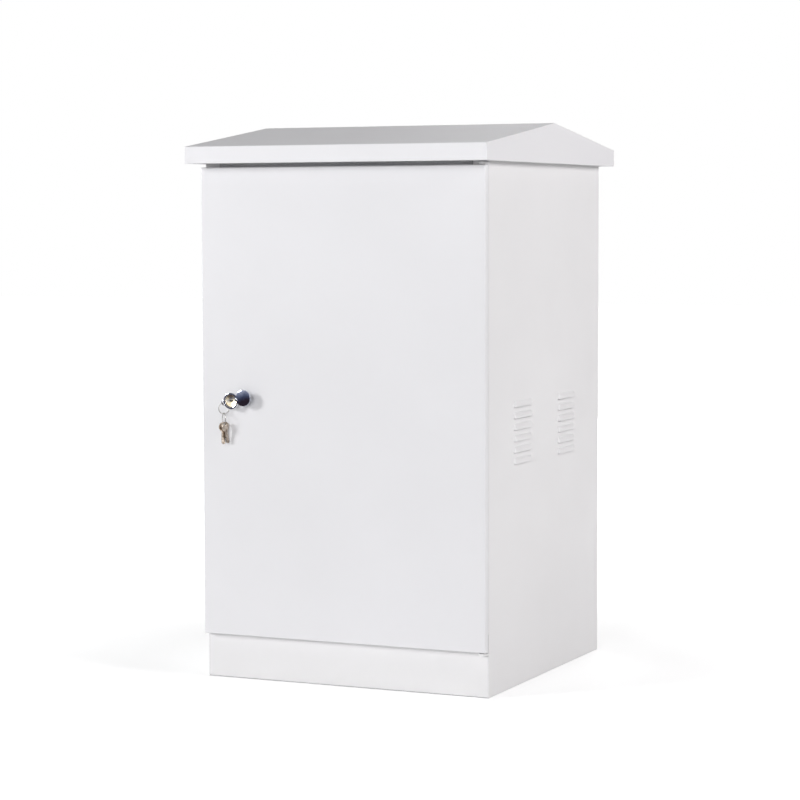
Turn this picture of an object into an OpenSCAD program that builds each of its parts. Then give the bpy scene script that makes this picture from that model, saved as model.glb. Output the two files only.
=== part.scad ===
/* [Body] */
// Width across the side panels
body_w = 600; // [450:10:900]
// Depth from the plinth face to the rear face
body_d = 600; // [450:10:900]
// Height of the body to the top panel
body_h = 1030; // [700:10:1600]
// Sheet thickness of body, roof and door
sheet = 1.5; // [1:0.1:3]
// Inner radius of the folds
fold_in = 1.5; // [0.5:0.1:4]
// Width of the door frame on each side
jamb_w = 32; // [26:1:50]
// Depth of the folded lip inside the door frame
jamb_lip = 16; // [10:1:30]
// Height of the plinth with its sill
sill_h = 120; // [100:1:200]
// Depth of the lips along the plinth
plinth_lip = 30; // [20:1:45]
// Height of the rail above the door opening
header_h = 60; // [40:1:100]
// Width of the flange at the rear corners
rear_flange = 22; // [12:1:40]
// Height of the floor panel's underside
floor_z = 98; // [80:1:110]

/* [Base] */
// Leg length of the base rails
rail_leg = 46; // [40:1:70]
// Thickness of the base rails
rail_t = 3; // [2:0.5:6]
// Anchor hole radius
anchor_r = 7; // [4:0.5:9]
// Anchor holes in from the side faces
anchor_in = 25; // [22:1:30]
// Anchor hole spacing front to rear
anchor_pitch = 400; // [200:10:420]

/* [Roof] */
// Roof overhang at the front
front_eave = 51; // [30:1:80]
// Roof overhang at the rear
rear_eave = 41; // [20:1:80]
// Roof overhang at each side
side_eave = 18; // [10:1:40]
// Height of the roof skirt
skirt_h = 33; // [26:1:60]
// How far the skirt hangs below the top panel
skirt_drop = 18; // [10:1:22]
// Rise from the eave to the ridge
roof_rise = 46; // [30:1:120]
// Depth of the lip folded in under the skirt
roof_lip = 12; // [6:1:16]
// Outer radius of the ridge fold
ridge_r = 14; // [4:1:30]
// Distance of each roof rib from the middle
rib_x = 210; // [100:5:215]
// Width of the rib feet
rib_foot = 28; // [24:1:40]
// Distance of the rib bolts from the middle
rib_bolt_y = 200; // [80:5:210]

/* [Door] */
// Door overlap past the body on each side
door_over = 1; // [0:0.5:3]
// Door thickness
door_t = 13; // [12:0.5:20]
// Gap between the door and the frame
door_gap = 4; // [3.8:0.1:8]
// Height of the door's lower edge
door_z = 88; // [70:1:95]
// Gap between the door's top edge and the skirt
door_top_gap = 7; // [6.5:0.5:12]
// Lip folded in around the door's rear
door_lip = 14; // [13.5:0.5:16]
// Gasket distance from the door edge
gasket_in = 17; // [16.5:0.5:18]
// Gasket width
gasket_w = 11; // [6:0.5:12]
// Stiffener distance from the middle
stiff_x = 120; // [60:5:150]
// Stiffener width
stiff_w = 44; // [30:1:60]
// Stiffener depth
stiff_d = 9; // [6:0.5:10]

/* [Hinge] */
// Pivot distance from the door's edge
pivot_in = 7.5; // [7:0.1:8]
// Pin radius
pin_r = 3; // [2:0.1:3.5]
// Pin length inside the door
pin_in = 18; // [12:1:24]
// Running clearance around pins
run_gap = 0.05; // [0.02:0.01:0.1]
// Thickness of the pivot tabs
tab_t = 4; // [3:0.5:5]
// Radius of the pivot tabs
tab_r = 8; // [6:0.5:9]
// Gap between tab and door
tab_gap = 1; // [0.5:0.1:1.5]

/* [Louvres] */
// Louvres in a column
louvre_n = 6; // [3:1:8]
// Louvre length
louvre_l = 92; // [60:1:110]
// Louvre spacing
louvre_pitch = 22; // [18:0.5:26]
// Louvre height
louvre_h = 12; // [8:0.5:14]
// How far the louvres stand out
louvre_out = 5; // [4:0.5:7]
// Height of the top louvre's lip
louvre_top = 543; // [400:1:700]
// Distance between the two columns
louvre_cols = 236; // [160:1:300]
// Columns in front of the body's middle
louvre_fwd = 10; // [0:1:30]

/* [Lock] */
// Lock axis in from the door's left edge
lock_in = 71.5; // [66:0.5:90]
// Lock axis height
lock_z = 551; // [300:1:800]
// Lock head radius
lock_r = 16; // [14:0.5:18]
// Lock stem radius
stem_r = 9.5; // [8:0.5:10]
// Lock head stand-off from the door
lock_neck = 10; // [9.5:0.5:14]
// Lock flange thickness
lock_flange = 2; // [1.5:0.1:2.2]
// Height of the rim around the plug
lock_rim = 4.5; // [3:0.5:8]
// Wall of the rim
rim_wall = 3.5; // [3:0.1:4]
// Plug radius in the stem
plug_r = 6.5; // [5:0.5:7]
// Keyway length
keyway_l = 9; // [6:0.5:10]
// Keyway width
keyway_w = 2.4; // [2:0.1:3]
// Cam reach behind the frame
cam_reach = 12; // [8:1:14]
// Cam thickness
cam_t = 3; // [2:0.5:4]
// Dust cap pivot distance from the lock axis
cap_pivot = 14.4; // [14:0.1:15]
// Direction of the open dust cap
cap_angle = 13; // [0:1:40]
// Dust cap edge thickness
cap_t = 2; // [1.5:0.1:3]
// Dust cap crown above its edge
cap_crown = 2; // [1:0.1:4]
// Rivet radius
rivet_r = 1.4; // [1:0.1:1.6]

/* [Keys] */
// Key ring radius to the wire's middle
ring_r = 10.5; // [9:0.5:13]
// Key ring wire radius
ring_wire = 0.8; // [0.6:0.1:0.9]
// Second ring radius to the wire's middle
link_r = 11; // [9:0.5:12]
// Second ring wire radius
link_wire = 0.7; // [0.5:0.1:0.8]
// Turn of the key ring from the door's plane
ring_turn = 45; // [42:1:50]
// Key bow radius
bow_r = 9.5; // [8.5:0.5:11]
// Key blade length
blade_l = 26; // [20:1:36]
// Key blade width
blade_w = 8; // [6:0.5:9]
// Key thickness
key_t = 1.8; // [1.5:0.1:2]
// Key hole radius
key_hole = 3; // [2.8:0.1:3.4]

/* [Inside] */
// Mounting plate width
plate_w = 480; // [300:10:500]
// Mounting plate height
plate_h = 780; // [400:10:800]
// Mounting plate thickness
plate_t = 2; // [1.5:0.5:4]
// Stand-off of the mounting plate
plate_off = 30; // [15:1:60]
// Fixings in from the plate's edges
plate_fix = 20; // [15:1:40]
// Radius of the M8 studs
stud_r = 4; // [3:0.5:5]
// Gland plate width
gland_w = 330; // [280:5:400]
// Gland plate depth
gland_d = 130; // [110:5:200]
// Gland plate thickness
gland_t = 2; // [1.5:0.5:4]
// Gland plate overlap on the floor
gland_lap = 18; // [14:1:25]
// Cable hole radius in the grommets
cable_r = 20; // [12:1:24]
// Grommet wall around the cable hole
grommet_wall = 5; // [3:0.5:7]
// Grommet spacing
grommet_pitch = 90; // [80:1:100]
// Filter pad thickness
pad_t = 10; // [6:0.5:20]
// Filter pad margin around the louvres
pad_margin = 14; // [10:1:25]
// Width of the holder's edge around the pad
holder_edge = 12; // [8:1:14]

/* [Hidden] */

$fn = 48;
seat_gap = 0.3;
eps = 1;

// planes of the body, with the roof centred on the origin
fold_r = sheet + fold_in;
x_side = body_w/2;
roof_w = body_w + 2*side_eave;
roof_d = body_d + front_eave + rear_eave;
y_front = front_eave - roof_d/2;
y_rear = y_front + body_d;
y_mid = (y_front + y_rear)/2;
wall_h = body_h - sheet;
x_jamb = x_side - jamb_w;
header_z = wall_h - header_h;
y_back_in = y_rear - 2*sheet;
floor_top = floor_z + sheet;

// roof levels
skirt_z = body_h - skirt_drop;
eave_z = skirt_z + skirt_h;
ridge_z = eave_z + roof_rise;
slope = atan(roof_rise/(roof_d/2));

// door planes
door_w = body_w + 2*door_over;
door_top = skirt_z - door_top_gap;
door_h = door_top - door_z;
door_mid_z = (door_top + door_z)/2;
y_door_back = y_front - door_gap;
y_door = y_door_back - door_t;
pivot_x = door_w/2 - pivot_in;
pivot_y = (y_door + y_door_back)/2;

// lock stations, measured along y from the door face
lock_x = lock_in - door_w/2;
rosette_t = 1.5;
rosette_r = lock_r - 2;
neck_r = stem_r + 1.5;
y_flange = y_door - lock_neck;
y_flange_front = y_flange - lock_flange;
y_rim = y_flange_front - lock_rim;
y_cap = y_rim - seat_gap;
cam_gap = 2;
y_cam = y_front + jamb_lip + cam_gap;
cam_w = 16;
cam_l = lock_x + x_jamb + cam_reach;
plug_head_r = lock_r - rim_wall - 2*seat_gap;
plug_head = 1.6;
plug_tail = 3;
boss_r = rivet_r + 2.4;
cap_pivot_x = lock_x + cap_pivot*cos(cap_angle);
cap_pivot_z = lock_z + cap_pivot*sin(cap_angle);
cap_x = lock_x + 2*cap_pivot*cos(cap_angle);
cap_z = lock_z + 2*cap_pivot*sin(cap_angle);
rivet_head = 0.8;

// the ring hangs in an ear on the lock's flange
ear_hole = 3;
ear_wall = 2.2;
ear_dir = 193;
ear_at = lock_r + 2.4;
ear_x = lock_x + ear_at*cos(ear_dir);
ear_z = lock_z + ear_at*sin(ear_dir);
y_ear = y_flange - lock_flange/2;
ring_seat = 0.8;
ring_top = ear_z - ring_seat;
ring_z = ring_top - ring_r;
link_top = ring_z - ring_r + ring_wire + link_wire + 0.2;
link_z = link_top - link_r;
key_spread = 4.6;
key_rise = link_r - sqrt(link_r*link_r - key_spread*key_spread);
hole_above = bow_r - key_hole - 1.2;
wire_z = link_z - link_r + key_rise;
front_seat = key_hole - link_wire - 1;
side_seat = front_seat - 1.1;
link_turn = ring_turn + 90;
key_twist = 30;
key_lean = 13;
tooth = 1.4;

// louvre rows
louvre_bottom = louvre_top - (louvre_n - 1)*louvre_pitch;
louvre_arc = (louvre_out*louvre_out + louvre_h*louvre_h)/(2*louvre_out);
louvre_y = [y_mid - louvre_fwd - louvre_cols/2, y_mid - louvre_fwd + louvre_cols/2];
end_r = louvre_out + sheet/2;
louvre_flat = louvre_l - 2*end_r;
slot_z = sqrt(pow(louvre_arc - sheet, 2) - pow(louvre_arc - louvre_out, 2)) - 0.3;

// filter behind the louvres
pad_l = louvre_cols + louvre_l + 2*pad_margin;
pad_h = louvre_top - louvre_bottom + louvre_h + 2*pad_margin;
pad_z = louvre_bottom - pad_margin;
pad_y = y_mid - louvre_fwd;

// inside fixings
nut_h = 6.5;
nut_af = 13;
plate_z = (header_z + sill_h)/2;
y_plate = y_back_in - plate_off;
plate_x = plate_w/2 - plate_fix;
plate_dz = plate_h/2 - plate_fix;
sleeve_r = stud_r + 3;
gland_y = y_mid + body_d/6;
gland_z = floor_top;
screw_r = 2.5;
screw_in = gland_lap/2;
earth_side = 70;
earth_front = 110;
earth_x = earth_side - x_side;
earth_y = y_front + earth_front;
earth_h = 34;
bolt_r = 4;
rib_t = sheet;
rib_ends = body_d/2 - 20;

function arc_points(c, r, a0, a1, n) = [for (i = [0:n]) c + r*[cos(a0 + (a1 - a0)*i/n), sin(a0 + (a1 - a0)*i/n)]];

// ring quarter that joins two straight runs of sheet; s gives the quadrant
module bend(c, s) {
  translate(c) intersection() {
    difference() {
      circle(fold_r);
      circle(fold_in);
    }
    scale([s[0], s[1]]) square(fold_r);
  }
}

// flat run of sheet between two corners
module run(a, b) {
  translate([min(a[0], b[0]), min(a[1], b[1])]) square([abs(a[0] - b[0]), abs(a[1] - b[1])]);
}

// extrude a front-to-rear section along x, centred
module along_x(l) {
  rotate([90, 0, 90]) translate([0, 0, -l/2]) linear_extrude(l) children();
}

// round bar along +y from y0 to y1
module bar_y(x, z, r, y0, y1) {
  translate([x, y0, z]) rotate([-90, 0, 0]) cylinder(r = r, h = y1 - y0);
}

module hex_y(x, z, af, y0, y1) {
  translate([x, y0, z]) rotate([-90, 0, 0]) cylinder(r = af/sqrt(3), h = y1 - y0, $fn = 6);
}

module hex_z(x, y, af, z0, h) {
  translate([x, y, z0]) cylinder(r = af/sqrt(3), h = h, $fn = 6);
}

// half of a louvre's section, with the hood outward along +x
module hood_section(r) {
  intersection() {
    translate([louvre_out - louvre_arc + sheet/2, 0]) circle(r);
    square([end_r, louvre_h]);
  }
}

module hood_form(r) {
  translate([-sheet/2, 0, 0]) {
    translate([0, louvre_flat/2, 0]) rotate([90, 0, 0]) linear_extrude(louvre_flat) hood_section(r);
    translate([0, louvre_flat/2, 0]) rotate_extrude(angle = 90) hood_section(r);
    translate([0, -louvre_flat/2, 0]) rotate([0, 0, -90]) rotate_extrude(angle = 90) hood_section(r);
  }
}

module at_louvres() {
  for (y = louvre_y, i = [0:louvre_n - 1])
    translate([x_side, y, louvre_bottom + i*louvre_pitch]) children();
}

module side_wall() {
  difference() {
    union() {
      linear_extrude(sill_h) {
        run([x_side - sheet, y_front], [x_side, y_rear - fold_r]);
        bend([x_side - fold_r, y_rear - fold_r], [1, 1]);
        run([x_side - rear_flange, y_rear - sheet], [x_side - fold_r, y_rear]);
      }
      translate([0, 0, sill_h]) linear_extrude(wall_h - sill_h) {
        run([x_side - sheet, y_front + fold_r], [x_side, y_rear - fold_r]);
        bend([x_side - fold_r, y_rear - fold_r], [1, 1]);
        run([x_side - rear_flange, y_rear - sheet], [x_side - fold_r, y_rear]);
        bend([x_side - fold_r, y_front + fold_r], [1, -1]);
        run([x_jamb + fold_r, y_front], [x_side - fold_r, y_front + sheet]);
        bend([x_jamb + fold_r, y_front + fold_r], [-1, -1]);
        run([x_jamb, y_front + fold_r], [x_jamb + sheet, y_front + jamb_lip]);
      }
      at_louvres() hood_form(louvre_arc);
    }
    at_louvres() {
      hood_form(louvre_arc - sheet);
      translate([-sheet - eps, -louvre_flat/2, 0]) cube([sheet + eps, louvre_flat, slot_z]);
    }
  }
}

module side_panel_right() {
  color("white") side_wall();
}

module side_panel_left() {
  color("white") mirror([1, 0, 0]) side_wall();
}

module rear_panel() {
  w = body_w - 2*fold_r;
  color("white") translate([-w/2, y_back_in, 0]) cube([w, sheet, wall_h]);
}

module plinth_panel() {
  w = body_w - 2*sheet;
  color("white") along_x(w) {
    run([y_front, fold_r], [y_front + sheet, sill_h - fold_r]);
    bend([y_front + fold_r, fold_r], [-1, -1]);
    run([y_front + fold_r, 0], [y_front + plinth_lip, sheet]);
    bend([y_front + fold_r, sill_h - fold_r], [-1, 1]);
    run([y_front + fold_r, sill_h - sheet], [y_front + plinth_lip, sill_h]);
  }
}

module header_rail() {
  color("white") along_x(2*x_jamb) {
    run([y_front, header_z + fold_r], [y_front + sheet, wall_h]);
    bend([y_front + fold_r, header_z + fold_r], [-1, -1]);
    run([y_front + fold_r, header_z], [y_front + jamb_lip, header_z + sheet]);
  }
}

module top_panel() {
  color("white") difference() {
    translate([-x_side, y_front, wall_h]) cube([body_w, body_d, sheet]);
    at_rib_bolts() translate([0, 0, wall_h - eps]) cylinder(r = bolt_r + seat_gap, h = sheet + 2*eps);
  }
}

module floor_panel() {
  w = body_w - 2*sheet;
  color("white") difference() {
    translate([-w/2, y_front + sheet, floor_z]) cube([w, y_back_in - y_front - sheet, sheet]);
    translate([0, gland_y, floor_z]) {
      translate([gland_lap - gland_w/2, gland_lap - gland_d/2, -eps])
        cube([gland_w - 2*gland_lap, gland_d - 2*gland_lap, sheet + 2*eps]);
      at_gland_screws() translate([0, 0, -eps]) cylinder(r = screw_r, h = sheet + 2*eps);
    }
    translate([earth_x, earth_y, floor_z - eps]) cylinder(r = stud_r, h = sheet + 2*eps);
  }
}

module base_rail() {
  x1 = x_side - sheet;
  y0 = y_front + plinth_lip;
  l = y_back_in - y0;
  difference() {
    union() {
      translate([x1 - rail_leg, y0, 0]) cube([rail_leg, l, rail_t]);
      translate([x1 - rail_t, y0, 0]) cube([rail_t, l, rail_leg]);
    }
    for (s = [-1, 1])
      translate([x_side - anchor_in, y_mid + s*anchor_pitch/2, -eps]) cylinder(r = anchor_r, h = rail_t + 2*eps);
  }
}

module base_rail_right() {
  color("silver") base_rail();
}

module base_rail_left() {
  color("silver") mirror([1, 0, 0]) base_rail();
}

// roof section in y and z, drawn at an inset from the outer face
module roof_section(inset, low) {
  half = roof_d/2 - inset;
  top = ridge_z - inset/cos(slope);
  eave = top - half*tan(slope);
  r = max(fold_r - inset, 0.2);
  rr = max(ridge_r - inset, 0.2);
  turn = 90 - slope;
  cut = r*tan(turn/2);
  ridge_c = [0, top - rr/cos(slope)];
  rear_c = [half - r, eave - cut];
  front_c = [r - half, eave - cut];
  polygon(concat(
    [[-half, low], [half, low]],
    arc_points(rear_c, r, 0, 90 - slope, 4),
    arc_points(ridge_c, rr, 90 - slope, 90 + slope, 6),
    arc_points(front_c, r, 90 + slope, 180, 4)
  ));
}

module roof_cap() {
  in_w = roof_w - 2*sheet;
  open_w = roof_w - 2*roof_lip;
  open_d = roof_d - 2*roof_lip;
  color("white") difference() {
    along_x(roof_w) roof_section(0, skirt_z);
    along_x(in_w) roof_section(sheet, skirt_z + sheet);
    translate([-open_w/2, -open_d/2, skirt_z - eps]) cube([open_w, open_d, sheet + 2*eps]);
  }
}

module at_rib_bolts() {
  for (x = [-rib_x, rib_x], y = [-rib_bolt_y, rib_bolt_y]) translate([x, y + y_mid, 0]) children();
}

// upright rib that follows the roof's underside, with a flat foot
module roof_rib(x) {
  under = ridge_z - sheet/cos(slope);
  head = ridge_r*(1/cos(slope) - 1) + seat_gap;
  foot_z = body_h + sheet;
  // front and rear ends follow the roof's slope from the ridge at y = 0
  front = y_mid - rib_ends;
  rear = y_mid + rib_ends;
  crown = (head + 0.2)/tan(slope);
  color("white") difference() {
    union() {
      translate([x + rib_foot/2 - rib_t, 0, 0]) rotate([90, 0, 90]) linear_extrude(rib_t)
        polygon([
          [front, body_h], [rear, body_h], [rear, under - rear*tan(slope) - seat_gap],
          [crown, under - crown*tan(slope) - seat_gap], [-crown, under - crown*tan(slope) - seat_gap],
          [front, under + front*tan(slope) - seat_gap]
        ]);
      translate([x - rib_foot/2, front, body_h]) cube([rib_foot, rear - front, sheet]);
    }
    at_rib_bolts() translate([0, 0, body_h - eps]) cylinder(r = bolt_r + seat_gap, h = sheet + 2*eps);
  }
}

module roof_rib_right() {
  roof_rib(rib_x);
}

module roof_rib_left() {
  roof_rib(-rib_x);
}

module roof_bolts() {
  head = 5;
  color("silver") at_rib_bolts() {
    hex_z(0, 0, nut_af, wall_h - head, head);
    translate([0, 0, wall_h - head]) cylinder(r = bolt_r, h = head + 2*sheet + nut_h + 2);
  }
}

module roof_nuts() {
  color("silver") at_rib_bolts() difference() {
    hex_z(0, 0, nut_af, body_h + sheet, nut_h);
    translate([0, 0, body_h]) cylinder(r = bolt_r + run_gap, h = nut_h + 2*sheet);
  }
}

// pivot tab that stands out of the frame, round about the pin
module hinge_tab(z) {
  color("white") difference() {
    translate([pivot_x, pivot_y, z]) linear_extrude(tab_t) {
      circle(tab_r);
      translate([-tab_r, 0]) square([2*tab_r, y_front - pivot_y]);
    }
    translate([pivot_x, pivot_y, z - eps]) cylinder(r = pin_r + run_gap, h = tab_t + 2*eps);
  }
}

module hinge_tab_upper() {
  hinge_tab(door_top + tab_gap);
}

module hinge_tab_lower() {
  hinge_tab(door_z - tab_gap - tab_t);
}

// pin with a thrust collar between tab and door
module hinge_pin(z, up) {
  l = tab_t + tab_gap + pin_in;
  collar = tab_gap - seat_gap;
  color("silver") translate([pivot_x, pivot_y, z]) mirror([0, 0, up ? 0 : 1]) {
    cylinder(r = pin_r, h = l);
    translate([0, 0, tab_t]) cylinder(r = pin_r + 2, h = collar);
  }
}

module hinge_pin_lower() {
  hinge_pin(door_z - tab_gap - tab_t, true);
}

module hinge_pin_upper() {
  hinge_pin(door_top + tab_gap + tab_t, false);
}

// door blank with its four front edges folded round
module pan_form(w, t, h, r) {
  intersection() {
    linear_extrude(h) {
      translate([-w/2, r]) square([w, t - r]);
      translate([r - w/2, 0]) square([w - 2*r, t]);
      translate([r - w/2, r]) circle(r);
      translate([w/2 - r, r]) circle(r);
    }
    along_x(w) {
      translate([r, 0]) square([t - r, h]);
      translate([0, r]) square([t, h - 2*r]);
      translate([r, r]) circle(r);
      translate([r, h - r]) circle(r);
    }
  }
}

module door_panel() {
  w = door_w - 2*sheet;
  h = door_h - 2*sheet;
  open_w = door_w - 2*door_lip;
  open_h = door_h - 2*door_lip;
  color("white") difference() {
    translate([0, y_door, door_z]) pan_form(door_w, door_t, door_h, fold_r);
    translate([0, y_door + sheet, door_z + sheet]) pan_form(w, door_t - 2*sheet, h, fold_in);
    translate([-open_w/2, y_door + door_t/2, door_z + door_lip]) cube([open_w, door_t, open_h]);
    translate([pivot_x, pivot_y, door_z - eps]) cylinder(r = pin_r + run_gap, h = door_h + 2*eps);
    bar_y(lock_x, lock_z, stem_r + run_gap, y_door - eps, y_door + door_t);
  }
}

// hat channel on the inside of the door
module door_stiffener(x) {
  y0 = y_door + sheet;
  h = door_h - 2*(gasket_in + gasket_w) - 40;
  web = stiff_w - 24;
  color("white") translate([x, y0, door_mid_z - h/2]) linear_extrude(h) {
    translate([-stiff_w/2, 0]) square([12 + sheet, sheet]);
    translate([web/2 - sheet, 0]) square([12 + sheet, sheet]);
    translate([-web/2, 0]) square([sheet, stiff_d]);
    translate([web/2 - sheet, 0]) square([sheet, stiff_d]);
    translate([-web/2, stiff_d - sheet]) square([web, sheet]);
  }
}

module door_stiffener_left() {
  door_stiffener(-stiff_x);
}

module door_stiffener_right() {
  door_stiffener(stiff_x);
}

module door_gasket() {
  y0 = y_door + sheet;
  t = y_front - seat_gap - y0;
  out_w = door_w - 2*gasket_in;
  out_h = door_h - 2*gasket_in;
  in_w = out_w - 2*gasket_w;
  in_h = out_h - 2*gasket_w;
  color("black") translate([0, y0, door_mid_z]) difference() {
    translate([-out_w/2, 0, -out_h/2]) cube([out_w, t, out_h]);
    translate([-in_w/2, -eps, -in_h/2]) cube([in_w, t + 2*eps, in_h]);
  }
}

// block in the door's corner that the pin turns in
module pivot_block(z) {
  x1 = door_w/2 - sheet - fold_in;
  y0 = y_door + sheet;
  l = pin_in - fold_r + 3;
  x0 = pivot_x - pin_r - 3;
  color("silver") translate([0, 0, z]) difference() {
    translate([x0, y0, 0]) cube([x1 - x0, door_t - 2*sheet, l]);
    translate([pivot_x, pivot_y, -eps]) cylinder(r = pin_r + run_gap, h = l + 2*eps);
  }
}

module pivot_block_lower() {
  pivot_block(door_z + fold_r);
}

module pivot_block_upper() {
  pivot_block(door_top - pin_in - 3);
}

module lock_body() {
  ear_y = y_flange_front;
  color("silver") difference() {
    union() {
      bar_y(lock_x, lock_z, lock_r, y_rim, y_flange);
      bar_y(lock_x, lock_z, neck_r, y_flange - eps/2, y_door - rosette_t);
      bar_y(lock_x, lock_z, stem_r, y_flange - eps/2, y_cam - seat_gap);
      bar_y(cap_pivot_x, cap_pivot_z, boss_r, y_rim, y_flange);
      bar_y(ear_x, ear_z, ear_hole + ear_wall, ear_y, y_flange);
    }
    bar_y(lock_x, lock_z, lock_r - rim_wall, y_rim - eps, y_flange_front);
    bar_y(lock_x, lock_z, plug_r + run_gap, y_rim, y_cam + eps);
    bar_y(cap_pivot_x, cap_pivot_z, rivet_r + run_gap, y_rim - eps, y_flange + eps);
    bar_y(ear_x, ear_z, ear_hole, ear_y - eps, y_flange + eps);
  }
}

module lock_rosette() {
  color("silver") difference() {
    bar_y(lock_x, lock_z, rosette_r, y_door - rosette_t, y_door);
    bar_y(lock_x, lock_z, stem_r + run_gap, y_door - rosette_t - eps, y_door + eps);
  }
}

module lock_nut() {
  y0 = y_door + sheet;
  color("silver") difference() {
    hex_y(lock_x, lock_z, 2*stem_r + 8, y0, y0 + 5);
    bar_y(lock_x, lock_z, stem_r + run_gap, y0 - eps, y0 + 5 + eps);
  }
}

// turning cylinder with its keyway, and a square tail for the cam
module lock_plug() {
  y0 = y_flange_front - seat_gap - plug_head;
  y1 = y_cam + cam_t + plug_tail;
  color("gold") difference() {
    union() {
      bar_y(lock_x, lock_z, plug_head_r, y0, y_flange_front - seat_gap);
      bar_y(lock_x, lock_z, plug_r, y0 + eps/2, y_cam);
      translate([lock_x - plug_r/2, y_cam - eps, lock_z - plug_r/2]) cube([plug_r, cam_t + eps, plug_r]);
      bar_y(lock_x, lock_z, plug_r/2 - 0.4, y_cam, y1);
    }
    translate([lock_x - keyway_l/2, y0 - eps, lock_z - keyway_w/2]) cube([keyway_l, 22, keyway_w]);
  }
}

// flat tongue that turns behind the frame's lip; it hangs down when unlocked
module lock_cam() {
  hole = plug_r/2 + run_gap;
  color("silver") difference() {
    translate([lock_x, y_cam, lock_z]) rotate([-90, 0, 0]) linear_extrude(cam_t) {
      circle(cam_w/2);
      translate([-cam_w/2, 0]) square([cam_w, cam_l - 4]);
      translate([0, cam_l - cam_w/2]) circle(cam_w/2);
    }
    translate([lock_x - hole, y_cam - eps, lock_z - hole]) cube([2*hole, cam_t + 2*eps, 2*hole]);
  }
}

module cam_screw() {
  y0 = y_cam + cam_t;
  color("silver") difference() {
    hex_y(lock_x, lock_z, 11, y0, y0 + plug_tail);
    bar_y(lock_x, lock_z, plug_r/2 - 0.4 + run_gap, y0 - eps, y0 + plug_tail + eps);
  }
}

// swung-open cover with a crowned face
module dust_cap() {
  crown_r = (lock_r*lock_r/cap_crown + cap_crown)/2;
  color("silver") difference() {
    union() {
      translate([cap_x, y_cap, cap_z]) rotate([90, 0, 0]) rotate_extrude($fn = 64) {
        square([lock_r, cap_t]);
        intersection() {
          translate([0, cap_t + cap_crown - crown_r]) circle(crown_r, $fn = 96);
          translate([0, cap_t/2]) square([lock_r, cap_t + cap_crown]);
        }
      }
      bar_y(cap_pivot_x, cap_pivot_z, boss_r, y_cap - cap_t, y_cap);
    }
    bar_y(cap_pivot_x, cap_pivot_z, rivet_r + run_gap, y_cap - cap_t - cap_crown - eps, y_cap + eps);
    bar_y(cap_pivot_x, cap_pivot_z, rivet_r + 1, y_cap - cap_t - cap_crown - eps, y_cap - cap_t + 0.2);
  }
}

module cap_rivet() {
  y0 = y_cap - cap_t + 0.2 - run_gap;
  color("silver") {
    bar_y(cap_pivot_x, cap_pivot_z, rivet_r, y0, y_flange);
    bar_y(cap_pivot_x, cap_pivot_z, rivet_r + 0.9, y0 - rivet_head, y0);
  }
}

// upright ring about the vertical through the ear
module hung_ring(z, r, wire, turn) {
  translate([ear_x, y_ear, z]) rotate([0, 0, turn]) rotate([90, 0, 0]) rotate_extrude($fn = 72)
    translate([r, 0]) circle(wire, $fn = 24);
}

module key_ring() {
  color("silver") hung_ring(ring_z, ring_r, ring_wire, ring_turn);
}

module key_link() {
  color("silver") hung_ring(link_z, link_r, link_wire, link_turn);
}

// flat key, hole at the origin, blade down along -z, thickness along y
module key_form() {
  shoulder = -hole_above - bow_r*0.5;
  end = -hole_above - bow_r*0.8 - blade_l;
  rotate([90, 0, 0]) translate([0, 0, -key_t/2]) difference() {
    union() {
      translate([0, -hole_above, 0]) cylinder(r = bow_r, h = key_t);
      linear_extrude(key_t) polygon([
        [-blade_w/2, shoulder], [blade_w/2, shoulder], [blade_w/2, end + 3],
        [blade_w/4, end], [-blade_w/4, end], [-blade_w/2, end + 3]
      ]);
    }
    translate([0, 0, -eps]) cylinder(r = key_hole, h = key_t + 2*eps);
    for (i = [0:3]) translate([blade_w/2, end + 6 + i*4.2, -eps]) linear_extrude(key_t + 2*eps)
      polygon([[0.1, -1.6], [0.1, 1.6], [-tooth*(1 + i%2)/2, 0]]);
  }
}

module hung_key(side, twist, lean, seat) {
  translate([ear_x + side*key_spread*cos(link_turn), y_ear + side*key_spread*sin(link_turn), wire_z - seat])
    rotate([0, -lean, ring_turn + twist]) key_form();
}

module key_front() {
  color("silver") hung_key(1, 0, 0, front_seat);
}

module key_side() {
  color("silver") hung_key(-1, key_twist, key_lean, side_seat);
}

module mounting_plate() {
  color("silver") difference() {
    translate([-plate_w/2, y_plate - plate_t, plate_z - plate_h/2]) cube([plate_w, plate_t, plate_h]);
    at_plate_studs() bar_y(0, 0, stud_r + run_gap, y_plate - plate_t - eps, y_plate + eps);
  }
}

module at_plate_studs() {
  for (x = [-plate_x, plate_x], z = [plate_z - plate_dz, plate_z + plate_dz]) translate([x, 0, z]) children();
}

module plate_studs() {
  color("silver") at_plate_studs() bar_y(0, 0, stud_r, y_plate - plate_t - nut_h - 3, y_back_in);
}

module plate_sleeves() {
  color("silver") at_plate_studs() difference() {
    bar_y(0, 0, sleeve_r, y_plate, y_back_in);
    bar_y(0, 0, stud_r + run_gap, y_plate - eps, y_back_in + eps);
  }
}

module plate_nuts() {
  y1 = y_plate - plate_t;
  color("silver") at_plate_studs() difference() {
    hex_y(0, 0, nut_af, y1 - nut_h, y1);
    bar_y(0, 0, stud_r + run_gap, y1 - nut_h - eps, y1 + eps);
  }
}

module at_gland_screws() {
  for (x = [-1, 1], y = [-1, 1]) translate([x*(gland_w/2 - screw_in), y*(gland_d/2 - screw_in), 0]) children();
}

module gland_plate() {
  color("silver") translate([0, gland_y, gland_z]) difference() {
    translate([-gland_w/2, -gland_d/2, 0]) cube([gland_w, gland_d, gland_t]);
    for (i = [-1:1]) translate([i*grommet_pitch, 0, -eps]) cylinder(r = cable_r + grommet_wall, h = gland_t + 2*eps);
    at_gland_screws() translate([0, 0, -eps]) cylinder(r = screw_r, h = gland_t + 2*eps);
  }
}

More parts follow.
